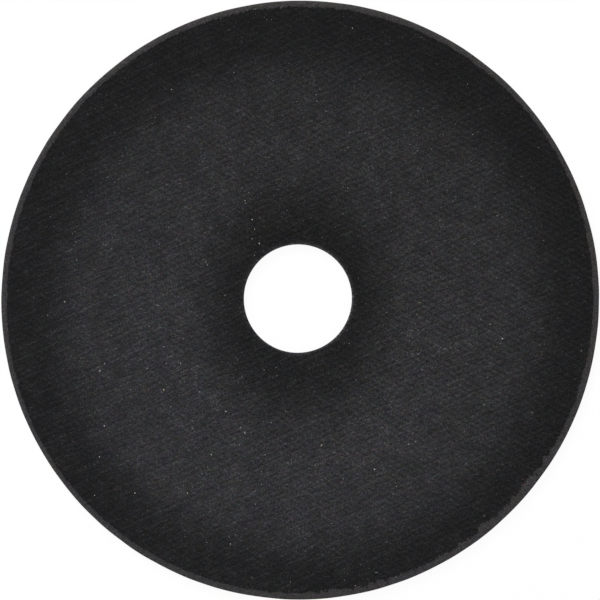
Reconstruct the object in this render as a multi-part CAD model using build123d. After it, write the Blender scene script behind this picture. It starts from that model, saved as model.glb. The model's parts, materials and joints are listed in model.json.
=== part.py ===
from build123d import *
import os

# Sizes of the disc, in millimetres
outer_diameter = 125.0
bore_diameter = 22.6
sheet_thickness = 0.84
coat_thickness = 0.36

# Edge of the rim on the sheet side, rolled over and rubbed pale
rim_roll_width = 1.17
rim_roll_depth = 0.26

# Wall of the rim near the coat side, where the cut breaks inward
rim_break_height = 0.45
rim_break_inset = 0.08

# Edge of the bore on the sheet side, rubbed over less than the rim
bore_roll_width = 0.45
bore_roll_depth = 0.10

# Values that follow from these
rim_radius = outer_diameter / 2
bore_radius = bore_diameter / 2
thickness = sheet_thickness + coat_thickness


def draw_rim():
    """Wall of the rim, from the coat side up: broken, then sheared clean, then rolled over."""
    roll_foot = thickness - rim_roll_depth
    Line((rim_radius - rim_break_inset, 0), (rim_radius, rim_break_height))
    Line((rim_radius, rim_break_height), (rim_radius, roll_foot))
    EllipticalCenterArc(
        (rim_radius - rim_roll_width, roll_foot),
        rim_roll_width,
        rim_roll_depth,
        start_angle=0,
        arc_size=90,
    )


def draw_bore():
    """Wall of the bore, from the coat side up, and its softly rolled edge on the sheet side."""
    roll_foot = thickness - bore_roll_depth
    Line((bore_radius, 0), (bore_radius, roll_foot))
    EllipticalCenterArc(
        (bore_radius + bore_roll_width, roll_foot),
        bore_roll_width,
        bore_roll_depth,
        start_angle=90,
        arc_size=90,
    )


def draw_faces():
    """The two flat faces: sheet side on top, coat side on the ground."""
    Line((bore_radius + bore_roll_width, thickness), (rim_radius - rim_roll_width, thickness))
    Line((bore_radius, 0), (rim_radius - rim_break_inset, 0))


def make_disc():
    """The disc, cut from one coated sheet: its half section turned about the bore's axis."""
    with BuildPart() as disc:
        with BuildSketch(Plane.XZ):
            with BuildLine():
                draw_rim()
                draw_faces()
                draw_bore()
            make_face()
        revolve(axis=Axis.Z)
    return disc.part


disc = make_disc()
os.makedirs("parts", exist_ok=True)
export_step(disc, "parts/abrasive_disc.step")
size = disc.bounding_box().size
print(f"abrasive_disc {size.X:.2f} x {size.Y:.2f} x {size.Z:.2f} mm, {disc.volume:.1f} mm3")
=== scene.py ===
import json
import math

import bpy
import numpy as np
from mathutils import Matrix, Vector


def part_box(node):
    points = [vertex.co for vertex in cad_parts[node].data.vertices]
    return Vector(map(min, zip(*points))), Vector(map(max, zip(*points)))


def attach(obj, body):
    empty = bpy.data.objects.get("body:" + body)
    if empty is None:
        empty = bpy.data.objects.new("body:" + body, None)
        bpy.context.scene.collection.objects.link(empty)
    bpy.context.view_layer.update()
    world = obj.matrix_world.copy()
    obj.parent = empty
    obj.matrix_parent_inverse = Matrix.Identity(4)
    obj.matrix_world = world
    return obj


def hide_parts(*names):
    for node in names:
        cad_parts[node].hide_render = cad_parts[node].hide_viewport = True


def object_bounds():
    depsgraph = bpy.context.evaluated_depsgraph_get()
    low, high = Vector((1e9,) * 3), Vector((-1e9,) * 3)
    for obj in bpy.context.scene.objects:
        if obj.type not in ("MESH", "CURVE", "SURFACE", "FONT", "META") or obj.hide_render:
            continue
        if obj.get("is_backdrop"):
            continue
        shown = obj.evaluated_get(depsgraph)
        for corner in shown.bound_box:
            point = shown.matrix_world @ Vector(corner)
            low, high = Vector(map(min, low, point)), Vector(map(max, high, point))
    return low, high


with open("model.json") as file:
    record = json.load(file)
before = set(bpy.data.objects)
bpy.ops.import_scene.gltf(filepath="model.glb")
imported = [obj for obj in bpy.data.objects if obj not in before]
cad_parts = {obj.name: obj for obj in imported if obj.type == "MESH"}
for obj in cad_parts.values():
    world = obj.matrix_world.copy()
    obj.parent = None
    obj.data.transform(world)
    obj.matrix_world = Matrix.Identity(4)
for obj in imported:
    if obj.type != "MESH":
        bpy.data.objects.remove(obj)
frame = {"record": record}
cad_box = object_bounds()

MM = 0.001
NODE = "abrasive_disc"
BODY = "root"

# Main sizes, taken from the frame
_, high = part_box(NODE)
mounts = {mount["name"]: mount for mount in frame["record"]["mounts"]}
RIM = high.x
TOP = high.z
BORE = mounts["pad_bore"]["dims"]["r_mm"] * MM

# The coat is below this height, the fibre sheet above it
COAT_TOP = 0.36 * MM

# Loose fibres and grains on the face stand up by this much, up to the frame's top
RELIEF = 0.02 * MM
FACE = TOP - RELIEF

# The fibres and the largest grains rise this far above the face, and all are sunk into it by this much
RISE = 0.8 * RELIEF
FIBRE_FOOT = 0.004 * MM
GRAIN_FOOT = 0.03 * MM

# Rolled edge of the rim and the broken foot of its wall
ROLL_WIDTH = 1.17 * MM
ROLL_DEPTH = 0.26 * MM
BREAK_HEIGHT = 0.45 * MM
BREAK_INSET = 0.08 * MM

# Rolled edge of the bore
BORE_ROLL_WIDTH = 0.45 * MM
BORE_ROLL_DEPTH = 0.10 * MM

# Direction of the sheet's fibres, from +X towards +Y
FIBRES = math.radians(20.0)

# How far the cut edge runs inside the full radius, on average, as a spread about that and at least
CUT_INSET = 0.030 * MM
CUT_SWAY = 0.018 * MM
CUT_INSET_LEAST = CUT_INSET / 5

# The band at the rim where the dark skin is rubbed off: its width where the cut runs along the fibres and
# where it runs across them, the direction in which it is narrowest and how sharply it narrows there
RUB_WIDE = 1.31 * MM
RUB_NARROW = 1.00 * MM
RUB_NARROWEST = math.radians(29)
RUB_NARROWING = 14

# Thickness of the dark skin
SKIN = 0.012 * MM

# Unevenness of the skin's edge in mm: everywhere, and what is added where the edge is ragged
FUZZ = 0.05
CRUMBLE = 0.07

# Where it is ragged: how strongly, then the direction, from +X towards +Y, and the spread in degrees
RAGGED = (
    (0.9, 98, 15),
    (0.9, -50, 32),
    (0.7, -79, 9),
)

# Tears in the skin's edge, given one by one: where each starts and ends, in degrees clockwise from +X, and
# how far it goes inward in mm at the start and at the end
TEARS = (
    (32.5, 34.0, 0.8, 0.1),
    (35.0, 37.5, 0.3, 0.6),
    (37.5, 40.0, 0.6, 0.8),
    (40.0, 42.5, 0.4, 0.1),
    (42.5, 44.0, 0.8, 0.1),
    (44.5, 45.5, 0.4, 0.3),
    (46.0, 47.0, 0.1, 0.8),
    (47.0, 48.0, 0.5, 0.1),
    (48.5, 50.5, 0.3, 0.7),
    (50.5, 52.0, 0.8, 0.7),
    (55.5, 57.0, 0.4, 0.5),
    (59.5, 61.5, 0.4, 0.2),
    (67.0, 69.5, 0.2, 0.3),
    (70.5, 72.0, 0.4, 0.2),
    (73.0, 76.0, 0.4, 0.5),
    (77.5, 79.0, 0.3, 0.2),
    (81.5, 84.0, 0.2, 0.7),
    (84.5, 85.5, 0.4, 0.3),
)

# Dark flecks of skin left on the rubbed band, given one by one: direction in degrees clockwise from +X, and
# the distances in mm from the rim between which each lies
FLECKS = (
    (36.5, 0.7, 1.5),
    (72.5, 0.4, 1.3),
    (76.5, 0.6, 1.3),
)

# Half the width of a fleck, in degrees
FLECK_HALF_WIDTH = 0.13

# Seeds of the random draws
OUTLINE_SEED = 23
BODY_SEED = 4
COAT_SEED = 7
FIBRE_SEED = 11
GRAIN_SEED = 19


def level(value):
    """Linear value of an sRGB level from 0 to 255."""
    share = value / 255
    return share / 12.92 if share <= 0.04045 else ((share + 0.055) / 1.055) ** 2.4


def tint(red, green, blue):
    """Linear colour of three sRGB levels."""
    return (level(red), level(green), level(blue))


# Camera: pixels across its picture, its focal length in those, and the width of its sensor in mm
FRAME_PIXELS = 600
FOCAL_PIXELS = 2678.5
SENSOR = 36.0

# How far it stands from the disc, how far it leans from upright and to which side, and where it looks
CAMERA_DISTANCE = 557.75 * MM
CAMERA_LEAN = math.radians(5.20)
CAMERA_SIDE = math.radians(-33.0)
AIM = Vector((0.51 * MM, -0.34 * MM, TOP))

# Nearest and farthest distance that it sees, in metres
NEAREST = 0.01
FARTHEST = 10.0


def add_camera():
    """A camera above the disc, leaning a little to the lower right, with +Y up in its picture."""
    data = bpy.data.cameras.new("camera")
    data.sensor_width = SENSOR
    data.lens = SENSOR * FOCAL_PIXELS / FRAME_PIXELS
    data.clip_start = NEAREST
    data.clip_end = FARTHEST
    camera = bpy.data.objects.new("camera", data)
    bpy.context.scene.collection.objects.link(camera)
    side = math.sin(CAMERA_LEAN)
    back = Vector((side * math.cos(CAMERA_SIDE), side * math.sin(CAMERA_SIDE), math.cos(CAMERA_LEAN)))
    right = Vector((0, 1, 0)).cross(back).normalized()
    turn = Matrix((right, back.cross(right), back)).transposed()
    camera.matrix_world = Matrix.Translation(AIM + back * CAMERA_DISTANCE) @ turn.to_4x4()
    bpy.context.scene.camera = camera


# Meshes


class Shell:
    """A surface built from rings of points about the Z axis, each joined to the one before."""

    def __init__(self):
        self.points = []
        self.rubs = []
        self.faces = []
        self.slots = []
        self.total = 0
        self.first = None
        self.last = None

    def ring(self, radius, height, count, slot=0, rub=0.0, turn=0.0):
        """Adds a ring; radius, height, rub and turn are numbers or one value per point, and a turn of 1
        moves a point as far as the next one."""
        angle = (np.arange(count) + turn) * math.tau / count
        radius = np.broadcast_to(radius, count)
        height = np.broadcast_to(height, count)
        self.points.append(np.column_stack((radius * np.cos(angle), radius * np.sin(angle), height)))
        self.rubs.append(np.broadcast_to(rub, count))
        ring = (list(range(self.total, self.total + count)), np.mean(turn) / count)
        self.total += count
        if self.last is None:
            self.first = ring
        else:
            self.join(self.last, ring, slot)
        self.last = ring

    def join(self, old, new, slot):
        """Faces between two rings: squares where they have as many points, and triangles otherwise."""
        if len(old[0]) == len(new[0]):
            made = self.squares(old[0], new[0])
        else:
            made = self.triangles(old, new)
        self.faces += made
        self.slots += [slot] * len(made)

    def squares(self, old, new):
        """One face for each step of the two rings."""
        return list(zip(old, new, new[1:] + new[:1], old[1:] + old[:1]))

    def triangles(self, old, new):
        """Faces that step along whichever ring has its next point sooner."""
        (old, old_turn), (new, new_turn) = old, new
        faces = []
        old_step = 0
        new_step = 0
        while old_step < len(old) or new_step < len(new):
            foot = old[old_step % len(old)], new[new_step % len(new)]
            old_next = (old_step + 1) / len(old) + old_turn
            new_next = (new_step + 1) / len(new) + new_turn
            if new_step == len(new) or (old_next <= new_next and old_step < len(old)):
                old_step += 1
                faces.append((*foot, old[old_step % len(old)]))
            else:
                new_step += 1
                faces.append((*foot, new[new_step % len(new)]))
        return faces

    def close(self, slot):
        """Joins the last ring to the first."""
        self.join(self.last, self.first, slot)

    def mesh(self, name):
        """The finished mesh."""
        mesh = bpy.data.meshes.new(name)
        mesh.from_pydata(np.vstack(self.points).tolist(), [], self.faces)
        mesh.polygons.foreach_set("material_index", self.slots)
        mesh.attributes.new("rub", "FLOAT", "POINT").data.foreach_set("value", np.concatenate(self.rubs))
        mesh.update()
        return mesh


def add_piece(name, mesh, materials):
    """Puts a mesh in the scene as a piece of the disc."""
    piece = bpy.data.objects.new(name, mesh)
    bpy.context.scene.collection.objects.link(piece)
    for material in materials:
        mesh.materials.append(material)
    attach(piece, BODY)
    return piece


def smooth(mesh, degrees):
    """Shades the mesh smooth except over edges sharper than this."""
    mesh.polygons.foreach_set("use_smooth", [True] * len(mesh.polygons))
    mesh.set_sharp_from_angle(angle=math.radians(degrees))


def soft_noise(rng, count, span):
    """A closed run of random values about 0, smoothed over this many points, with a spread of 1."""
    kernel = np.hanning(span + 2)
    raw = rng.normal(size=count)
    run = np.convolve(np.concatenate((raw[-span:], raw, raw[:span])), kernel, "same")[span:-span]
    return run / run.std()


# Points round the rim and their directions; the face inside it has fewer
RIM_POINTS = 3072
RIM_ANGLES = np.arange(RIM_POINTS) * math.tau / RIM_POINTS
FACE_POINTS = 768

# Numbers of the body's materials
FACE_SLOT = 0
WALL_SLOT = 1

# Rings of the face: where the coarse ones start and end, how many those are, and the two finer ones
COARSE_START = BORE + 1.1 * BORE_ROLL_WIDTH
COARSE_END = RIM - 4.2 * MM
COARSE_RINGS = 12
FINER_RING = RIM - 3.5 * MM
FINEST_RING = RIM - 2.8 * MM

# Rings of the bore's rolled edge and of the rubbed band, as shares of the way outward
BORE_ROLL_RINGS = (0.0, 0.12, 0.3, 0.55, 0.8)
BAND_RINGS = (0.3, 0.55, 0.75, 0.88, 0.96)

# Rings over the skin's edge: how far out from it in mm, and how much of the skin is rubbed off there
EDGE_REACH = 0.24
EDGE_RINGS = ((-EDGE_REACH, 0.0), (-0.10, 0.2), (0.0, 0.5), (0.10, 0.8), (EDGE_REACH, 1.0))

# Rings of the cut wall and of the bore's wall, as heights
WALL_RINGS = (0.80 * MM, 0.62 * MM, BREAK_HEIGHT)
BORE_RINGS = (0.55 * MM, 0.80 * MM, 1.00 * MM)

# Rings of the sheet's back, and how far its foot stands inside the line of the broken wall
BACK_FINE_RING = RIM - 2 * MM
BACK_COARSE_RING = RIM - 4 * MM
FOOT_INSET = 0.01 * MM

# How much paler the rubbed band gets towards the cut, and how pale it is at the cut itself
RUB_RISE = 0.3
CUT_RUB = 1.4

# Roughness of the edges and the cut wall, of the rubbed band and of the bore's wall, and how uneven the
# bore's edge is
EDGE_ROUGHNESS = 0.004 * MM
BAND_ROUGHNESS = 0.006 * MM
BORE_ROUGHNESS = 0.010 * MM
BORE_SWAY = 0.012 * MM

# Edges of the body sharper than this, in degrees, stay sharp
SHARP = 50


def cut_outline(count):
    """Radius of the cut edge, which isn't quite true, at this many evenly spaced points."""
    sway = soft_noise(np.random.default_rng(OUTLINE_SEED), RIM_POINTS, span=64)
    inset = np.maximum(CUT_INSET + CUT_SWAY * sway, CUT_INSET_LEAST)
    return RIM - np.interp(np.arange(count) * RIM_POINTS / count, np.arange(RIM_POINTS), inset)


def lump(angle, direction, spread):
    """A smooth bump of height 1 over the angles near a direction; both are in degrees."""
    offset = np.angle(np.exp(1j * (angle - math.radians(direction))))
    return np.exp(-((offset / math.radians(spread)) ** 2))


def skin_edge(rng, angle):
    """Radius at which the dark skin gives way to the rubbed band: uneven all round, and torn along the
    fibres where the cut runs nearly along them."""
    narrow = np.abs(np.cos(angle - RUB_NARROWEST)) ** RUB_NARROWING
    edge = RIM - RUB_WIDE + (RUB_WIDE - RUB_NARROW) * narrow
    ragged = sum(strength * lump(angle, direction, spread) for strength, direction, spread in RAGGED)
    fuzz = FUZZ * soft_noise(rng, len(angle), span=5) + FUZZ * soft_noise(rng, len(angle), span=15)
    crumbs = CRUMBLE * soft_noise(rng, len(angle), span=2) * ragged
    edge += (fuzz * (1 + ragged) + crumbs) * MM
    clockwise = np.degrees(-angle) % 360
    for start, end, first, last in TEARS:
        inside = (clockwise >= start) & (clockwise <= end)
        depth = np.interp(clockwise, (start, end), (first, last)) * MM
        edge -= np.where(inside, depth, 0)
    return edge


def flecked(angle, radius):
    """1 at the points of a ring that lie in a fleck, and 0 at the others."""
    clockwise = np.degrees(-angle) % 360
    depth = (RIM - radius) / MM
    marks = np.zeros(len(angle))
    for direction, outer, inner in FLECKS:
        beside = np.abs(clockwise - direction) < FLECK_HALF_WIDTH
        marks[beside & (depth > outer) & (depth < inner)] = 1
    return marks


def roll_height(radius, rub):
    """Height of the rolled edge at a radius, a little lower where the skin is rubbed off."""
    part = np.clip((radius - (RIM - ROLL_WIDTH)) / ROLL_WIDTH, 0, 1)
    return FACE - SKIN * min(rub, 1.0) - (ROLL_DEPTH - SKIN) * (1 - np.sqrt(1 - part**2))


def add_bore_edge(shell, rng):
    """Rolled edge of the bore."""
    uneven = np.abs(BORE_SWAY * soft_noise(rng, FACE_POINTS, span=8))
    for part in BORE_ROLL_RINGS:
        rough = np.abs(EDGE_ROUGHNESS * soft_noise(rng, FACE_POINTS, span=3))
        fall = BORE_ROLL_DEPTH * (1 - math.sqrt(1 - (1 - part) ** 2))
        radius = BORE + BORE_ROLL_WIDTH * part + uneven * (1 - part)
        shell.ring(radius, FACE - fall - rough, FACE_POINTS, FACE_SLOT)


def add_flat_face(shell):
    """Flat face, with more points on the rings near the rim."""
    for radius in np.linspace(COARSE_START, COARSE_END, COARSE_RINGS):
        shell.ring(radius, FACE, FACE_POINTS, FACE_SLOT)
    shell.ring(FINER_RING, FACE, 2 * FACE_POINTS, FACE_SLOT)
    shell.ring(FINEST_RING, FACE, RIM_POINTS, FACE_SLOT)


def add_rubbed_band(shell, rng, edge, outline):
    """Edge of the skin, then the rubbed band, rolled over and a little rough."""
    for offset, rub in EDGE_RINGS:
        radius = edge + offset * MM
        rough = EDGE_ROUGHNESS * rub * soft_noise(rng, RIM_POINTS, span=3)
        bared = rub * (1 - flecked(RIM_ANGLES, radius))
        shell.ring(radius, roll_height(radius, rub) + rough, RIM_POINTS, FACE_SLOT, bared)
    start = edge + EDGE_REACH * MM
    for part in BAND_RINGS:
        radius = start + (outline - start) * part
        rough = BAND_ROUGHNESS * soft_noise(rng, RIM_POINTS, span=3)
        bared = (1 + RUB_RISE * part) * (1 - flecked(RIM_ANGLES, radius))
        shell.ring(radius, roll_height(radius, 1.0) + rough, RIM_POINTS, FACE_SLOT, bared)
    shell.ring(outline, FACE - ROLL_DEPTH, RIM_POINTS, FACE_SLOT, CUT_RUB)


def add_cut_wall(shell, rng, outline):
    """Cut wall, sheared and then broken inward."""
    for height in WALL_RINGS:
        inset = np.abs(EDGE_ROUGHNESS * soft_noise(rng, RIM_POINTS, span=5))
        shell.ring(outline - inset, height, RIM_POINTS, WALL_SLOT)
    foot = outline - BREAK_INSET * (BREAK_HEIGHT - COAT_TOP) / BREAK_HEIGHT
    shell.ring(foot - FOOT_INSET, COAT_TOP, RIM_POINTS, WALL_SLOT)


def add_back(shell, rng):
    """Back of the sheet, hidden by the coat, and then the wall of the bore."""
    shell.ring(BACK_FINE_RING, COAT_TOP, 2 * FACE_POINTS, WALL_SLOT)
    shell.ring(BACK_COARSE_RING, COAT_TOP, FACE_POINTS, WALL_SLOT)
    shell.ring(BORE, COAT_TOP, FACE_POINTS, WALL_SLOT)
    for height in BORE_RINGS:
        fuzz = np.abs(BORE_ROUGHNESS * soft_noise(rng, FACE_POINTS, span=3))
        shell.ring(BORE + fuzz, height, FACE_POINTS, WALL_SLOT)
    shell.close(WALL_SLOT)


def build_body(materials):
    """The fibre sheet: face, rubbed and rolled rim, cut wall, back and bore."""
    rng = np.random.default_rng(BODY_SEED)
    edge = skin_edge(rng, RIM_ANGLES)
    outline = cut_outline(RIM_POINTS)
    shell = Shell()
    add_bore_edge(shell, rng)
    add_flat_face(shell)
    add_rubbed_band(shell, rng, edge, outline)
    add_cut_wall(shell, rng, outline)
    add_back(shell, rng)
    mesh = shell.mesh("disc_body")
    smooth(mesh, SHARP)
    body = add_piece("disc_body", mesh, materials)
    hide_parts(NODE)


# Grain coat: points of its rings at the rim and at the bore, where each ring has a step fewer than the one
# outside it, so that the grains are as coarse everywhere
COAT_RIM_POINTS = 1032
COAT_BORE_POINTS = 258
COAT_STEP = 6

# Its hidden back lies just inside the sheet: height, how far its edges keep from the rim and from the
# bore, and the ring between them
COAT_BACK = COAT_TOP + 0.01 * MM
BACK_RIM_INSET = 0.02 * MM
BACK_BORE_INSET = 0.01 * MM
BACK_RING = BORE + 8 * MM

# Depth of the crust, and the two shape numbers of the spread of heights in it
GRAIN_DEPTH = 0.26 * MM
HEIGHT_SPREAD = (1.3, 1.6)

# How far its facets stray from even rings: in mm outward, and round the ring in steps of it
FACET_DRIFT = 0.12
FACET_TURN = 0.3

# Ragged edges of the crust, in mm: inset and height at the rim, then at the bore
RIM_RAGGED = (0, 0.10)
RIM_HEIGHTS = (0.10, 0.24)
BORE_RAGGED = (0.04, 0.16)
BORE_HEIGHTS = (0.16, 0.30)


def add_coat_rim(shell, rng):
    """Edge of the coat under the rim."""
    outline = cut_outline(COAT_RIM_POINTS)
    shell.ring(outline - BACK_RIM_INSET, COAT_BACK, COAT_RIM_POINTS)
    ragged = outline - BREAK_INSET - rng.uniform(*RIM_RAGGED, COAT_RIM_POINTS) * MM
    shell.ring(ragged, rng.uniform(*RIM_HEIGHTS, COAT_RIM_POINTS) * MM, COAT_RIM_POINTS)


def add_crust(shell, rng):
    """The crust itself, from the rim inward."""
    edge = RIM - CUT_INSET - BREAK_INSET
    for count in range(COAT_RIM_POINTS - COAT_STEP, COAT_BORE_POINTS, -COAT_STEP):
        part = (count - COAT_BORE_POINTS) / (COAT_RIM_POINTS - COAT_BORE_POINTS)
        radius = BORE + (edge - BORE) * part + rng.uniform(-FACET_DRIFT, FACET_DRIFT, count) * MM
        turn = rng.uniform() + rng.uniform(-FACET_TURN, FACET_TURN, count)
        shell.ring(radius, GRAIN_DEPTH * rng.beta(*HEIGHT_SPREAD, count), count, turn=turn)


def add_coat_bore(shell, rng):
    """Edge of the coat at the bore, then its hidden back."""
    ragged = BORE + rng.uniform(*BORE_RAGGED, COAT_BORE_POINTS) * MM
    shell.ring(ragged, rng.uniform(*BORE_HEIGHTS, COAT_BORE_POINTS) * MM, COAT_BORE_POINTS)
    shell.ring(BORE + BACK_BORE_INSET, COAT_BACK, COAT_BORE_POINTS)
    shell.ring(BACK_RING, COAT_BACK, 2 * COAT_BORE_POINTS)
    shell.close(0)


def build_coat(materials):
    """The grain coat: a crust of sharp facets whose tips end in the plane that the disc lies on."""
    rng = np.random.default_rng(COAT_SEED)
    shell = Shell()
    add_coat_rim(shell, rng)
    add_crust(shell, rng)
    add_coat_bore(shell, rng)
    add_piece("grain_coat", shell.mesh("grain_coat"), materials)


# A loose fibre: steps along it, how far it may lie off the sheet's direction, and its ends' share of its
# full width
STRAND_STEPS = 8
STRAND_TURN = math.radians(4)
STRAND_TIP = 0.1


def strand(rng, centre, length, width, bend):
    """A thin fibre lying on the face, three-sided in section: its points and faces."""
    row = STRAND_STEPS + 1
    heading = FIBRES + rng.normal(0, STRAND_TURN)
    turns = np.cumsum(rng.normal(0, bend, row))
    turns -= turns.mean()
    spine = np.column_stack((np.cos(heading + turns), np.sin(heading + turns))) * length / STRAND_STEPS
    spine = np.cumsum(spine, axis=0)
    spine += centre - spine.mean(axis=0)
    left = np.array((-math.sin(heading), math.cos(heading)))
    taper = np.sqrt(np.clip(1 - np.linspace(-1, 1, row) ** 2, 0, 1)) * (1 - STRAND_TIP) + STRAND_TIP
    half = (width / 2 * taper)[:, None] * left
    foot = np.full(row, FACE - FIBRE_FOOT)
    crown = FACE + RISE * taper
    points = np.vstack((
        np.column_stack((spine - half, foot)),
        np.column_stack((spine, crown)),
        np.column_stack((spine + half, foot)),
    ))
    faces = [(0, row, 2 * row), (STRAND_STEPS, 2 * row + STRAND_STEPS, row + STRAND_STEPS)]
    for this, that in ((0, row), (row, 2 * row), (2 * row, 0)):
        for step in range(STRAND_STEPS):
            faces.append((this + step, this + step + 1, that + step + 1, that + step))
    return points, faces


# A stray grain: fewest and most corners, how far they stray round it in radians, and their reach beside
# its even radius
CRUMB_CORNERS = (6, 8)
CORNER_TURN = 0.15
CORNER_REACH = (0.85, 1.15)


def crumb(rng, centre, size, height):
    """A stray grain pressed into the face, a low cone with uneven facets: its points and faces."""
    corners = int(rng.integers(*CRUMB_CORNERS, endpoint=True))
    angle = np.linspace(0, math.tau, corners, endpoint=False) + rng.normal(0, CORNER_TURN, corners)
    reach = size / 2 * rng.uniform(*CORNER_REACH, corners)
    across = centre[0] + reach * np.cos(angle)
    up = centre[1] + reach * np.sin(angle)
    ground_height = roll_height(math.hypot(*centre), 0)
    foot = np.column_stack((across, up, np.full(corners, ground_height - GRAIN_FOOT)))
    brow = np.column_stack((across, up, np.full(corners, ground_height)))
    tip = (centre[0], centre[1], ground_height + height)
    faces = [tuple(reversed(range(corners)))]
    for here in range(corners):
        after = (here + 1) % corners
        faces.append((here, after, corners + after, corners + here))
        faces.append((corners + here, corners + after, 2 * corners))
    return np.vstack((foot, brow, [tip])), faces


def gather(name, parts, slots, materials):
    """One piece from many small parts, each with a material."""
    points = []
    faces = []
    marks = []
    total = 0
    for (part_points, part_faces), slot in zip(parts, slots):
        points.append(part_points)
        faces += [tuple(total + corner for corner in face) for face in part_faces]
        marks += [slot] * len(part_faces)
        total += len(part_points)
    mesh = bpy.data.meshes.new(name)
    mesh.from_pydata(np.vstack(points).tolist(), [], faces)
    mesh.polygons.foreach_set("material_index", marks)
    mesh.update()
    return add_piece(name, mesh, materials)


def somewhere(rng, inner, outer, start=0, end=360):
    """A random place on the face between two radii, and between two directions in degrees."""
    radius = math.sqrt(rng.uniform(inner**2, outer**2))
    angle = math.radians(rng.uniform(start, end))
    return np.array((radius * math.cos(angle), radius * math.sin(angle)))


# Long and short fibres: how many, the radii that they lie between, their least and greatest length and
# width in mm, and how much they bend
LONG_FIBRES = (200, BORE + 5 * MM, RIM - 6 * MM, (3.5, 9.0), (0.06, 0.11), 0.05)
SHORT_FIBRES = (500, BORE + 2 * MM, RIM - 2.8 * MM, (0.8, 2.8), (0.05, 0.12), 0.08)


def build_fibres(materials):
    """Fibres on the face: long faint ones and many short ones, all near the sheet's own direction."""
    rng = np.random.default_rng(FIBRE_SEED)
    parts = []
    for count, inner, outer, lengths, widths, bend in (LONG_FIBRES, SHORT_FIBRES):
        for _ in range(count):
            place = somewhere(rng, inner, outer)
            length = rng.uniform(*lengths) * MM
            width = rng.uniform(*widths) * MM
            parts.append(strand(rng, place, length, width, bend))
    gather("surface_fibres", parts, [0] * len(parts), materials)


# Colours of the stray grains, as sRGB levels
GRAIN_COLOURS = {
    "white": (175, 175, 175),
    "cream": (175, 165, 150),
    "amber": (180, 160, 125),
    "pale": (140, 140, 140),
    "tan": (150, 140, 130),
    "faint": (85, 85, 85),
    "brown": (70, 60, 40),
    "red": (120, 65, 60),
    "pit": (25, 25, 25),
}

# Grains that stand out on the face, placed to half a millimetre: colour and size in mm, then the
# places in mm across and up from the axis
GRAINS_SEEN = (
    ("white", 0.25, (
        (-9.5, 16.5), (42.5, -8.5), (16.0, -35.5), (-11.0, -28.0), (-15.0, -23.5),
        (-18.0, -32.5), (-34.0, -40.5), (-40.5, -26.5), (-41.5, -15.0),
    )),
    ("white", 0.18, (
        (-9.0, 14.5), (-11.0, 20.5), (36.5, 34.0), (41.5, 17.0), (40.0, -5.5),
        (12.0, -59.5), (-22.0, -27.0), (-24.5, -13.5), (-40.5, -13.5), (-28.0, -10.0),
    )),
    ("white", 0.13, (
        (-9.0, 9.0), (19.5, 22.0), (18.5, -3.0), (24.0, -28.0), (9.5, -37.5),
        (-7.5, -36.0), (-28.5, -19.5), (-35.0, -19.0), (-38.5, 35.0),
    )),
    ("cream", 0.25, (
        (-8.0, 11.5), (5.0, -30.5), (-14.0, -51.0), (-23.0, -40.5), (-41.5, -33.0),
        (-49.0, -0.5),
    )),
    ("cream", 0.17, (
        (-9.5, 12.5), (10.5, 23.0), (11.5, 56.5), (25.5, -1.0), (20.5, -39.0),
        (-25.0, -15.0), (-27.5, -13.5), (-31.5, -14.5), (-42.5, -41.0), (-27.0, 15.0),
        (-26.5, 44.0),
    )),
    ("pale", 0.17, (
        (38.0, -4.5), (28.0, 31.0), (35.5, 44.5), (7.5, -32.0), (18.5, -50.5),
        (-2.5, -23.5), (-27.5, 24.0), (-38.5, 24.5),
    )),
    ("amber", 0.25, (
        (-28.0, -19.0),
    )),
    ("faint", 0.40, (
        (3.0, -51.5), (-13.0, -29.0), (-22.0, -25.5),
    )),
    ("faint", 0.22, (
        (-7.0, 59.0), (-6.5, 58.5), (-5.5, 58.5),
    )),
    ("red", 0.19, (
        (46.5, -37.5), (47.0, -38.5),
    )),
)

# A small burst blister in the skin: its place, then the dark pit and the pale grains in it, each with
# its offset across, its size, its colour and its height
BLISTER = (16.3, -56.8)
BLISTER_PARTS = (
    (0.00, 1.10, "pit", 0.005),
    (-0.15, 0.40, "faint", 0.018),
    (0.15, 0.45, "faint", 0.018),
    (0.20, 0.20, "pale", 0.0195),
)

# Small grains at random: how many, and the radii and directions that they lie between
SCATTERED = (
    (720, BORE + 1 * MM, RIM - 2 * MM, 0, 360),
    (1030, 17 * MM, 50 * MM, 0, 360),
    (90, RIM - 1.6 * MM, RIM - 0.75 * MM, -92, -28),
    (35, RIM - 1.5 * MM, RIM - 0.75 * MM, 82, 112),
)

# Their sizes in mm: the least, the mean above that, and the greatest; and their heights beside the relief
SCATTER_LEAST = 0.052
SCATTER_MEAN = 0.031
SCATTER_MOST = 0.18
SCATTER_HEIGHTS = (0.4, 0.9)

# Their colours: the share of each, and how large its grains are beside the others
SCATTER_MIX = {
    "pale": (0.385, 1.0),
    "tan": (0.100, 1.0),
    "faint": (0.270, 2.1),
    "red": (0.015, 1.0),
    "brown": (0.230, 1.8),
}


def seen_grains():
    """Grains that stand out and the parts of the blister: place, size, colour and height of each."""
    for colour, size, places in GRAINS_SEEN:
        for across, up in places:
            yield (across * MM, up * MM), size * MM, colour, RISE
    for offset, size, colour, height in BLISTER_PARTS:
        yield ((BLISTER[0] + offset) * MM, BLISTER[1] * MM), size * MM, colour, height * MM


def scattered_grains(rng):
    """Small grains at random: place, size, colour and height of each."""
    shares = [share for share, _ in SCATTER_MIX.values()]
    for count, *limits in SCATTERED:
        for _ in range(count):
            size = min(SCATTER_LEAST + SCATTER_MEAN * rng.exponential(), SCATTER_MOST) * MM
            colour = str(rng.choice(list(SCATTER_MIX), p=shares))
            size *= SCATTER_MIX[colour][1]
            place = somewhere(rng, *limits)
            yield place, size, colour, RELIEF * rng.uniform(*SCATTER_HEIGHTS)


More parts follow.
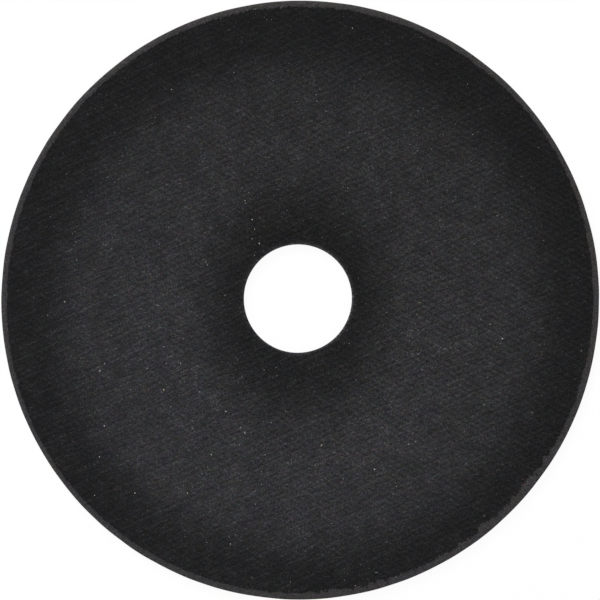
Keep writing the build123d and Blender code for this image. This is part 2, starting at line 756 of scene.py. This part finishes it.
def build_grains(materials):
    """Stray grains in the face: the ones that stand out, and many small ones at random."""
    rng = np.random.default_rng(GRAIN_SEED)
    colours = list(GRAIN_COLOURS)
    parts = []
    slots = []
    for grains in (seen_grains(), scattered_grains(rng)):
        for place, size, colour, height in grains:
            parts.append(crumb(rng, place, size, height))
            slots.append(colours.index(colour))
    gather("stray_grains", parts, slots, materials)


# Materials


class Graph:
    """Short calls for laying out the nodes of one material."""

    def __init__(self, name):
        self.material = bpy.data.materials.new(name)
        self.material.use_nodes = True
        self.nodes = self.material.node_tree.nodes
        self.links = self.material.node_tree.links
        self.shader = self.nodes["Principled BSDF"]
        self.place = self.scaled(self.nodes.new("ShaderNodeTexCoord").outputs["Object"], 1 / MM)

    def feed(self, value, socket):
        """Links an output to a socket, or sets a plain value on it."""
        if isinstance(value, bpy.types.NodeSocket):
            self.links.new(value, socket)
        else:
            socket.default_value = value

    def math(self, operation, *values):
        """The result of one step of arithmetic on plain values."""
        node = self.nodes.new("ShaderNodeMath")
        node.operation = operation
        for value, socket in zip(values, node.inputs):
            self.feed(value, socket)
        return node.outputs[0]

    def times(self, value, factor):
        """A value times a factor."""
        return self.math("MULTIPLY", value, factor)

    def line(self, value, slope, start):
        """A value times its slope, plus a start."""
        return self.math("MULTIPLY_ADD", value, slope, start)

    def total(self, *values):
        """Several values added up."""
        result = values[0]
        for value in values[1:]:
            result = self.math("ADD", result, value)
        return result

    def vector(self, operation, first, second):
        """The result of one step of arithmetic on two vectors."""
        node = self.nodes.new("ShaderNodeVectorMath")
        node.operation = operation
        self.feed(first, node.inputs[0])
        self.feed(second, node.inputs[1])
        return node.outputs["Value" if operation == "DOT_PRODUCT" else "Vector"]

    def scaled(self, vector, factor):
        """A vector times a number."""
        node = self.nodes.new("ShaderNodeVectorMath")
        node.operation = "SCALE"
        self.feed(vector, node.inputs["Vector"])
        self.feed(factor, node.inputs["Scale"])
        return node.outputs["Vector"]

    def turned(self, vector, angle):
        """A vector turned about Z."""
        node = self.nodes.new("ShaderNodeVectorRotate")
        node.rotation_type = "Z_AXIS"
        self.feed(vector, node.inputs["Vector"])
        node.inputs["Angle"].default_value = angle
        return node.outputs["Vector"]

    def noise_node(self, vector, scale, detail, roughness):
        """Noise as it comes, with a value and a colour, both about one half."""
        node = self.nodes.new("ShaderNodeTexNoise")
        node.inputs["Scale"].default_value = scale
        node.inputs["Detail"].default_value = detail
        node.inputs["Roughness"].default_value = roughness
        self.links.new(vector, node.inputs["Vector"])
        return node

    def noise(self, vector, sizes, detail=1.0, roughness=0.5):
        """Noise about 0 whose blots are as large, in mm, as sizes says along each axis."""
        stretched = self.vector("MULTIPLY", vector, tuple(1 / size for size in sizes))
        node = self.noise_node(stretched, 1.0, detail, roughness)
        return self.math("SUBTRACT", node.outputs["Fac"], 0.5)

    def round_noise(self, size, detail=1.0, roughness=0.5):
        """Noise about 0 in round blots of one size, in mm."""
        return self.noise(self.place, (size, size, size), detail, roughness)

    def hues(self, scale, detail, roughness):
        """Noise about 0 in three colours, with this many blots to the mm."""
        node = self.noise_node(self.place, scale, detail, roughness)
        return self.vector("SUBTRACT", node.outputs["Color"], (0.5, 0.5, 0.5))

    def attribute(self, name):
        """A number that the mesh carries at its points."""
        node = self.nodes.new("ShaderNodeAttribute")
        node.attribute_name = name
        return node.outputs["Fac"]

    def blend(self, first, second, part):
        """The first colour where part is 0 and the second where it is 1."""
        step = self.vector("SUBTRACT", second, first)
        return self.vector("ADD", first, self.scaled(step, part))

    def ramp(self, value, start, end):
        """0 at start and 1 at end, with a smooth rise between them."""
        node = self.nodes.new("ShaderNodeMapRange")
        node.interpolation_type = "SMOOTHSTEP"
        self.feed(value, node.inputs["Value"])
        node.inputs["From Min"].default_value = start
        node.inputs["From Max"].default_value = end
        return node.outputs["Result"]

    def distance(self, centre=(0.0, 0.0), squeeze=(1.0, 1.0)):
        """Distance in mm from an upright axis, after the face is squeezed along X and Y."""
        offset = self.vector("SUBTRACT", self.place, (*centre, 0.0))
        flat = self.vector("MULTIPLY", offset, (*squeeze, 0.0))
        node = self.nodes.new("ShaderNodeVectorMath")
        node.operation = "LENGTH"
        self.links.new(flat, node.inputs[0])
        return node.outputs["Value"]

    def bump(self, height, depth):
        """Raises the surface by height times depth, in metres."""
        node = self.nodes.new("ShaderNodeBump")
        node.inputs["Distance"].default_value = depth
        self.feed(height, node.inputs["Height"])
        self.links.new(node.outputs["Normal"], self.shader.inputs["Normal"])

    def finish(self, colour, roughness, specular):
        """Sets the shader's inputs and gives back the material."""
        self.feed(colour, self.shader.inputs["Base Color"])
        self.feed(roughness, self.shader.inputs["Roughness"])
        self.shader.inputs["Specular IOR Level"].default_value = specular
        return self.material


def vector_towards(direction, length):
    """A flat vector of this length in a direction in degrees from +X towards +Y."""
    turn = math.radians(direction)
    return (length * math.cos(turn), length * math.sin(turn), 0.0)


# Rows that the wire of the paper machine left: spacing in mm, and direction in degrees in which one row
# follows another, of the plain rows and of the thin raised ridges that cross them
ROW_SPACING = 1.15
ROW_DIRECTION = 60
RIDGE_SPACING = 2.06
RIDGE_DIRECTION = -66

# Finer rows run along the ridges, and fan out from them by this many degrees
RIDGE_FAN = 12

# The ridges' spacing is divided by these for the broad waves and for the finer rows
BROAD_SHARE = 1.5
FINE_SHARES = (2, 3)

# Strength of the plain rows, of the broad waves, of the finer rows and of the ridges
ROW_STRENGTH = 0.117
BROAD_STRENGTH = 0.10
FINE_STRENGTH = 0.045
RIDGE_STRENGTH = 0.21

# Direction in degrees in which the plain rows and the ridges grow stronger, and by how much at the rim
ROW_RISE = (15, 0.42)
RIDGE_RISE = (185, 0.65)

# Rows and ridges drift over the sheet in blots of this size in mm, by up to about half of this many radians
DRIFT_SIZE = 14.0
ROW_DRIFT = 5.0
RIDGE_DRIFT = 2.5

# How narrow the ridges are beside their spacing, the size in mm of the breaks along them, across them and
# down, and how strongly they break up
RIDGE_SHARPNESS = 9.0
RIDGE_BREAKS = (1.7, 0.5, 1.0)
RIDGE_BREAKING = 7.5


def phase_across(graph, spacing, direction, drift):
    """Phase of evenly spaced rows that drift a little across the sheet."""
    wave = vector_towards(direction, math.tau / spacing)
    return graph.math("ADD", graph.vector("DOT_PRODUCT", graph.place, wave), drift)


def rising(graph, direction, strength):
    """A factor of 1 at the axis that rises in one direction, in degrees, and falls in the other."""
    slope = vector_towards(direction, strength / (RIM / MM))
    return graph.math("ADD", graph.vector("DOT_PRODUCT", graph.place, slope), 1.0)


def wire_marks(graph):
    """Crossed rows of faint waves: the plain rows, then the ones that divide the ridges' spacing."""
    drift = graph.times(graph.round_noise(DRIFT_SIZE), ROW_DRIFT)

    def waves(spacing, direction, strength):
        return graph.times(graph.math("SINE", phase_across(graph, spacing, direction, drift)), strength)

    rows = [
        waves(ROW_SPACING, ROW_DIRECTION, graph.times(rising(graph, *ROW_RISE), ROW_STRENGTH)),
        waves(RIDGE_SPACING / BROAD_SHARE, RIDGE_DIRECTION, BROAD_STRENGTH),
    ]
    for share in FINE_SHARES:
        for turn in (-RIDGE_FAN, 0, RIDGE_FAN):
            rows.append(waves(RIDGE_SPACING / share, RIDGE_DIRECTION + turn, FINE_STRENGTH))
    return graph.total(*rows)


def ridges(graph):
    """Broken thin lines across the sheet, strongest away from the pale ring of dust and painted sheen."""
    drift = graph.times(graph.round_noise(DRIFT_SIZE), RIDGE_DRIFT)
    phase = phase_across(graph, RIDGE_SPACING, RIDGE_DIRECTION, drift)
    crests = graph.line(graph.math("COSINE", phase), RIDGE_SHARPNESS, -RIDGE_SHARPNESS)
    along = graph.turned(graph.place, math.radians(-90 - RIDGE_DIRECTION))
    breaks = graph.line(graph.noise(along, RIDGE_BREAKS), RIDGE_BREAKING, 1.0)
    lines = graph.times(graph.math("EXPONENT", crests), graph.math("MAXIMUM", breaks, 0.0))
    core, outer = haze(graph)
    strength = graph.line(graph.times(core, outer), -RIDGE_STRENGTH / 2, RIDGE_STRENGTH)
    return graph.times(lines, graph.times(strength, rising(graph, *RIDGE_RISE)))


# Pale ring of dust and painted sheen, fading in an oval about the bore and near the rim: centre of each in
# mm, how the first is squeezed, and the distances from the centre between which the ring comes and goes
CORE_CENTRE = (-0.15, -1.45)
CORE_SQUEEZE = (1.11, 0.90)
CORE_REACH = (12.5, 29.8)
OUTER_CENTRE = (0.6, -1.4)
OUTER_REACH = (56.8, 44.1)

# Tone of the face near the bore and near the rim, beside the pale ring of dust and painted sheen
CORE_TONE = 0.36
OUTER_TONE = 0.47

# Painted light falling off across the face: direction in degrees in which the face is painted paler, and by
# what share
PAINTED_LIGHT_SIDE = (-101, 0.147)

# How much the tone falls from the axis to this radius in mm, and as much again beyond it
FADE = 0.16
FADE_RADIUS = 30.0

# Painted highlight on the bore's rolled edge, where it faces the key lamp: width in mm, strength, size in
# mm of its patches, and the direction in degrees in which it is strongest and by what share
BORE_HIGHLIGHT_WIDTH = 0.26
BORE_HIGHLIGHT_STRENGTH = 4.8
BORE_HIGHLIGHT_PATCHES = 0.6
BORE_HIGHLIGHT_SIDE = (25, 0.55)

# Slow clouds on the face: size in mm and strength
CLOUD_SIZE = 12.0
CLOUD_STRENGTH = 0.25


def haze(graph):
    """Share of the pale ring of dust and painted sheen left near the bore, and left near the rim."""
    core = graph.ramp(graph.distance(CORE_CENTRE, CORE_SQUEEZE), *CORE_REACH)
    outer = graph.ramp(graph.distance(OUTER_CENTRE), *OUTER_REACH)
    return core, outer


def leaning(graph, direction, strength):
    """A factor about 1 that is greatest in one direction from the axis, in degrees, and least opposite."""
    outward = graph.vector("NORMALIZE", graph.place, (0.0, 0.0, 0.0))
    towards = vector_towards(direction, strength)
    return graph.math("ADD", 1.0, graph.vector("DOT_PRODUCT", outward, towards))


def outward_fade(graph):
    """1 halfway out on the face, a little more inside that and a little less outside it."""
    return graph.line(graph.distance(), -FADE / FADE_RADIUS, 1 + FADE)


def bore_rub(graph):
    """Painted highlight next to the bore, strongest on its right, where its rolled edge faces the key lamp.
    """
    distance = graph.math("SUBTRACT", graph.distance(), BORE / MM)
    fall = graph.math("EXPONENT", graph.times(distance, -1 / BORE_HIGHLIGHT_WIDTH))
    patches = graph.line(graph.round_noise(BORE_HIGHLIGHT_PATCHES, detail=2.0), 2.0, 1.0)
    # Here rub is the painted highlight on the bore's rolled edge, not wear
    rub = graph.times(graph.times(fall, patches), leaning(graph, *BORE_HIGHLIGHT_SIDE))
    return graph.line(rub, BORE_HIGHLIGHT_STRENGTH, 1.0)


def clouds(graph):
    """A factor near 1 that drifts slowly over the face."""
    return graph.line(graph.round_noise(CLOUD_SIZE, detail=2.0), CLOUD_STRENGTH, 1.0)


def ground(graph):
    """Tone of the face without its texture: 1 on the pale ring of dust and painted sheen, darker near the
    bore and the rim, and painted paler towards one side as painted light.
    """
    core, outer = haze(graph)
    tone = graph.line(core, 1 - CORE_TONE, CORE_TONE)
    tone = graph.times(tone, graph.line(outer, 1 - OUTER_TONE, OUTER_TONE))
    # The light falling off across the face is painted in: paler towards one side
    return graph.times(graph.times(tone, outward_fade(graph)), leaning(graph, *PAINTED_LIGHT_SIDE))


# Coloured blots on the face: how many to the mm, how strong each colour is, and their strength on the
# skin and how much of it is lost where the skin is rubbed off
HUE_SCALE = 0.75
HUE_STRENGTHS = (0.98, 0.83, 1.22)
HUE_SHARE = 0.98
HUE_LOSS = 0.5

# Slow drift of colour: its direction in red, green and blue, its blots' size in mm and its strength, its
# side and how much stronger it is where the skin is rubbed off
DRIFT_HUE = (0.4, 0.2, -1.0)
DRIFT_BLOTS = 6.0
DRIFT_STRENGTH = 0.10
DRIFT_SIDE = (42, 0.0105)
DRIFT_GAIN = 1.4


def mottled(graph, colour, bare):
    """A colour with faint blots of other hues, and a slow drift from yellower to bluer that shows most
    where the sheet is bare."""
    blots = graph.vector("MULTIPLY", graph.hues(HUE_SCALE, detail=4.0, roughness=0.95), HUE_STRENGTHS)
    blots = graph.scaled(blots, graph.line(bare, -HUE_LOSS, HUE_SHARE))
    slow = graph.times(graph.round_noise(DRIFT_BLOTS), DRIFT_STRENGTH)
    slow = graph.total(leaning(graph, *DRIFT_SIDE), -1.0, slow)
    slow = graph.times(slow, graph.line(bare, DRIFT_GAIN, 1.0))
    drift = graph.vector("ADD", graph.scaled(DRIFT_HUE, slow), (1.0, 1.0, 1.0))
    return graph.vector("MULTIPLY", colour, graph.vector("ADD", blots, drift))


# Texture of the face: size in mm of its grain, dots, streaks and glints along the fibres, across them and
# down, and of its round blots
GRAIN_SIZE = (0.45, 0.38, 1.0)
DOT_SIZE = (0.20, 0.17, 1.0)
STREAK_SIZE = (3.0, 0.28, 1.0)
GLINT_SIZE = (0.36, 0.27, 1.0)
BLOT_SIZE = 2.5

# How strongly each of them shows, how much the blots gather the glints, and the levels of noise between
# which a glint comes up
GRAIN_GAIN = 4.0
DOT_GAIN = 1.7
STREAK_GAIN = 0.8
BLOT_GAIN = 0.85
GLINT_GAIN = 2.3
GLINT_GATHERING = 0.2
GLINT_LEVELS = (0.13, 0.385)


def paper_relief(graph):
    """Relief of the fibre face: fine lengthwise grain, wire marks, and glints in loose clusters."""
    lengthwise = graph.turned(graph.place, -FIBRES)
    grain = graph.noise(lengthwise, GRAIN_SIZE, detail=4.0, roughness=0.75)
    dots = graph.noise(lengthwise, DOT_SIZE, detail=0.0)
    streaks = graph.noise(lengthwise, STREAK_SIZE)
    blots = graph.round_noise(BLOT_SIZE, detail=2.0)
    glints = graph.line(blots, GLINT_GATHERING, graph.noise(lengthwise, GLINT_SIZE))
    return graph.total(
        graph.times(grain, GRAIN_GAIN),
        graph.times(dots, DOT_GAIN),
        graph.times(streaks, STREAK_GAIN),
        graph.times(blots, BLOT_GAIN),
        graph.times(graph.ramp(glints, *GLINT_LEVELS), GLINT_GAIN),
        wire_marks(graph),
        ridges(graph),
    )


# Colours of the skin, of the pale ring of dust and painted sheen on it, of the sheet under it, of the
# sheet's cut wall, of the loose fibres and of the grain coat
SKIN_COLOUR = tint(43.1, 42.9, 43.9)
DUST_AND_SHEEN_COLOUR = tint(43.0, 42.6, 44.3)
BARE_COLOUR = tint(52.6, 50.9, 51.8)
WALL_COLOUR = tint(74, 71, 70)
FIBRE_COLOUR = tint(58, 57, 60)
CRUST_COLOUR = tint(76, 50, 40)

# Contrast of the face's texture, and what is added to it away from the bore and away from the rim
CONTRAST = 0.915
CORE_CONTRAST = 0.105
OUTER_CONTRAST = -0.055

# Depth of the fine relief of the face, of the cut wall and of the facets of the crust
FACE_BUMP = 0.006 * MM
WALL_BUMP = 0.008 * MM
CRUST_BUMP = 0.03 * MM


def rubbed_band(graph, rub):
    """Colour of the band at the rim where the dark skin is rubbed off: paler, mottled and fuzzy."""
    grain = graph.round_noise(0.30, detail=3.0, roughness=0.75)
    fuzz = graph.noise(graph.turned(graph.place, -FIBRES), (1.4, 0.2, 0.2))
    relief = graph.math("ADD", graph.times(grain, 3.4), fuzz)
    tone = graph.times(graph.math("EXPONENT", relief), graph.math("MAXIMUM", rub, 1.0))
    return graph.scaled(BARE_COLOUR, tone)


def skin(graph, relief):
    """Colour of the dark skin, with its texture, its pale ring of dust and painted sheen, the painted light
    from one side and the painted highlight at the bore.
    """
    core, outer = haze(graph)
    contrast = graph.line(core, CORE_CONTRAST, graph.line(outer, OUTER_CONTRAST, CONTRAST))
    tone = graph.math("EXPONENT", graph.times(relief, graph.times(contrast, outward_fade(graph))))
    # The tone takes the painted sheen and painted light of the ground, and the painted highlight at the
    # bore
    for factor in (ground(graph), clouds(graph), bore_rub(graph)):
        tone = graph.times(tone, factor)
    # Share of the pale ring of dust and painted sheen, which tints the skin's colour
    dust_and_sheen_share = graph.times(core, graph.line(outer, 0.5, 0.5))
    return graph.scaled(graph.blend(SKIN_COLOUR, DUST_AND_SHEEN_COLOUR, dust_and_sheen_share), tone)


def fibre_face():
    """Black vulcanised fibre with a pale ring of dust and painted sheen, a painted highlight at the bore's
    edge, and rubbed pale at the rim.
    """
    graph = Graph("fibre_face")
    relief = paper_relief(graph)
    rub = graph.attribute("rub")
    fray = graph.round_noise(0.30, detail=2.0, roughness=0.7)
    bare = graph.ramp(graph.math("ADD", fray, rub), 0.15, 0.85)
    colour = graph.blend(skin(graph, relief), rubbed_band(graph, rub), bare)
    graph.bump(relief, FACE_BUMP)
    return graph.finish(mottled(graph, colour, bare), roughness=0.85, specular=0.08)


def cut_wall():
    """The cut wall of the sheet: dark, with the lines of its plies."""
    graph = Graph("cut_wall")
    plies = graph.noise(graph.place, (1.5, 1.5, 0.07), detail=2.0, roughness=0.6)
    grain = graph.round_noise(0.2)
    relief = graph.total(graph.times(plies, 1.6), graph.times(grain, 0.8))
    colour = graph.scaled(WALL_COLOUR, graph.math("EXPONENT", relief))
    graph.bump(relief, WALL_BUMP)
    return graph.finish(colour, roughness=0.85, specular=0.2)


def grain_crust():
    """Brown abrasive grain in a dark resin, some facets catching the light."""
    graph = Graph("grain_crust")
    grain = graph.round_noise(0.5, detail=0.0)
    fine = graph.round_noise(0.16)
    tone = graph.math("EXPONENT", graph.math("ADD", graph.times(grain, 3.0), fine))
    gloss = graph.math("ADD", 0.42, graph.times(fine, 0.5))
    graph.bump(fine, CRUST_BUMP)
    return graph.finish(graph.scaled(CRUST_COLOUR, tone), roughness=gloss, specular=0.5)


def pale_fibre():
    """Loose fibres on the face, paler than the ground they lie on."""
    graph = Graph("pale_fibre")
    mottle = graph.times(graph.round_noise(0.5), 2.0)
    # The ground's tone brings the painted sheen and the painted light onto the fibres too
    tone = graph.times(graph.math("EXPONENT", mottle), ground(graph))
    return graph.finish(graph.scaled(FIBRE_COLOUR, tone), roughness=0.8, specular=0.1)


def speck(name, colour):
    """The stuff of a stray grain, mottled a little."""
    graph = Graph(name)
    mottle = graph.times(graph.round_noise(0.3), 1.2)
    tone = graph.math("EXPONENT", mottle)
    return graph.finish(graph.scaled(colour, tone), roughness=0.8, specular=0.0)


# Floor: half its width in metres, how far it lies under the disc, its colour, and how much of what the
# camera sees of it is plain white
FLOOR_HALF = 3.0
FLOOR_GAP = 0.005 * MM
PAPER_COLOUR = (0.95, 0.95, 0.95, 1.0)
FLOOR_GLOW = 0.93

# Strength of the light that the room sheds
ROOM_LIGHT = 0.47


def seen_directly(nodes, links):
    """1 for rays from the camera and for those that mirror or pass through, 0 for all others."""
    path = nodes.new("ShaderNodeLightPath")
    total = path.outputs["Is Camera Ray"]
    for name in ("Is Glossy Ray", "Is Transmission Ray"):
        node = nodes.new("ShaderNodeMath")
        node.operation = "MAXIMUM"
        links.new(total, node.inputs[0])
        links.new(path.outputs[name], node.inputs[1])
        total = node.outputs[0]
    return total


def mix(nodes, links, share, first, second):
    """A surface that is the first where share is 0 and the second where it is 1."""
    node = nodes.new("ShaderNodeMixShader")
    for value, socket in zip((share, first, second), node.inputs):
        links.new(value, socket)
    return node.outputs[0]


def floor_material():
    """White paper that shows pure white, with a trace of shadow, and nothing from below."""
    material = bpy.data.materials.new("floor")
    material.use_nodes = True
    nodes = material.node_tree.nodes
    links = material.node_tree.links
    nodes.clear()
    paper = nodes.new("ShaderNodeBsdfDiffuse")
    paper.inputs["Color"].default_value = PAPER_COLOUR
    glow = nodes.new("ShaderNodeEmission")
    share = nodes.new("ShaderNodeMath")
    share.operation = "MULTIPLY"
    links.new(seen_directly(nodes, links), share.inputs[0])
    share.inputs[1].default_value = FLOOR_GLOW
    lit = mix(nodes, links, share.outputs[0], paper.outputs[0], glow.outputs[0])
    below = nodes.new("ShaderNodeNewGeometry").outputs["Backfacing"]
    clear = nodes.new("ShaderNodeBsdfTransparent").outputs[0]
    output = nodes.new("ShaderNodeOutputMaterial")
    links.new(mix(nodes, links, below, lit, clear), output.inputs["Surface"])
    return material


def add_floor():
    """A wide floor just under the disc."""
    corners = ((-1, -1), (1, -1), (1, 1), (-1, 1))
    points = [(FLOOR_HALF * across, FLOOR_HALF * up, -FLOOR_GAP) for across, up in corners]
    mesh = bpy.data.meshes.new("floor")
    mesh.from_pydata(points, [], [(0, 1, 2, 3)])
    mesh.materials.append(floor_material())
    floor = bpy.data.objects.new("floor", mesh)
    bpy.context.scene.collection.objects.link(floor)
    floor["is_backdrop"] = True


def light_room():
    """A plain bright room that shows white behind the floor."""
    world = bpy.data.worlds.new("room")
    world.use_nodes = True
    nodes = world.node_tree.nodes
    links = world.node_tree.links
    background = nodes["Background"]
    strength = nodes.new("ShaderNodeMapRange")
    links.new(seen_directly(nodes, links), strength.inputs["Value"])
    strength.inputs["To Min"].default_value = ROOM_LIGHT
    strength.inputs["To Max"].default_value = 1.0
    links.new(strength.outputs["Result"], background.inputs["Strength"])
    background.inputs["Color"].default_value = (1.0, 1.0, 1.0, 1.0)
    bpy.context.scene.world = world


def add_lamp(name, place, size, power):
    """A square soft lamp that points at the disc; place and size are in metres, power in watts."""
    data = bpy.data.lights.new(name, "AREA")
    data.size = size
    data.energy = power
    lamp = bpy.data.objects.new(name, data)
    lamp.location = place
    lamp.rotation_euler = (-Vector(place)).to_track_quat("-Z", "Y").to_euler()
    bpy.context.scene.collection.objects.link(lamp)


def add_lamps():
    """Soft light from the top left of the picture, and a weaker fill from the bottom."""
    add_lamp("key", place=(-0.465, 0.81, 0.58), size=0.5, power=10.2)
    add_lamp("fill", place=(0.1, -0.75, 0.80), size=0.6, power=2.1)


bpy.context.scene.view_settings.view_transform = "Standard"
add_camera()
build_body([fibre_face(), cut_wall()])
build_coat([grain_crust()])
build_fibres([pale_fibre()])
build_grains([speck(f"{name}_grain", tint(*levels)) for name, levels in GRAIN_COLOURS.items()])
add_floor()
light_room()
add_lamps()

boxes = {"cad": cad_box, "visual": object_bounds()}
{name: [list(corner) for corner in box] for name, box in boxes.items()}
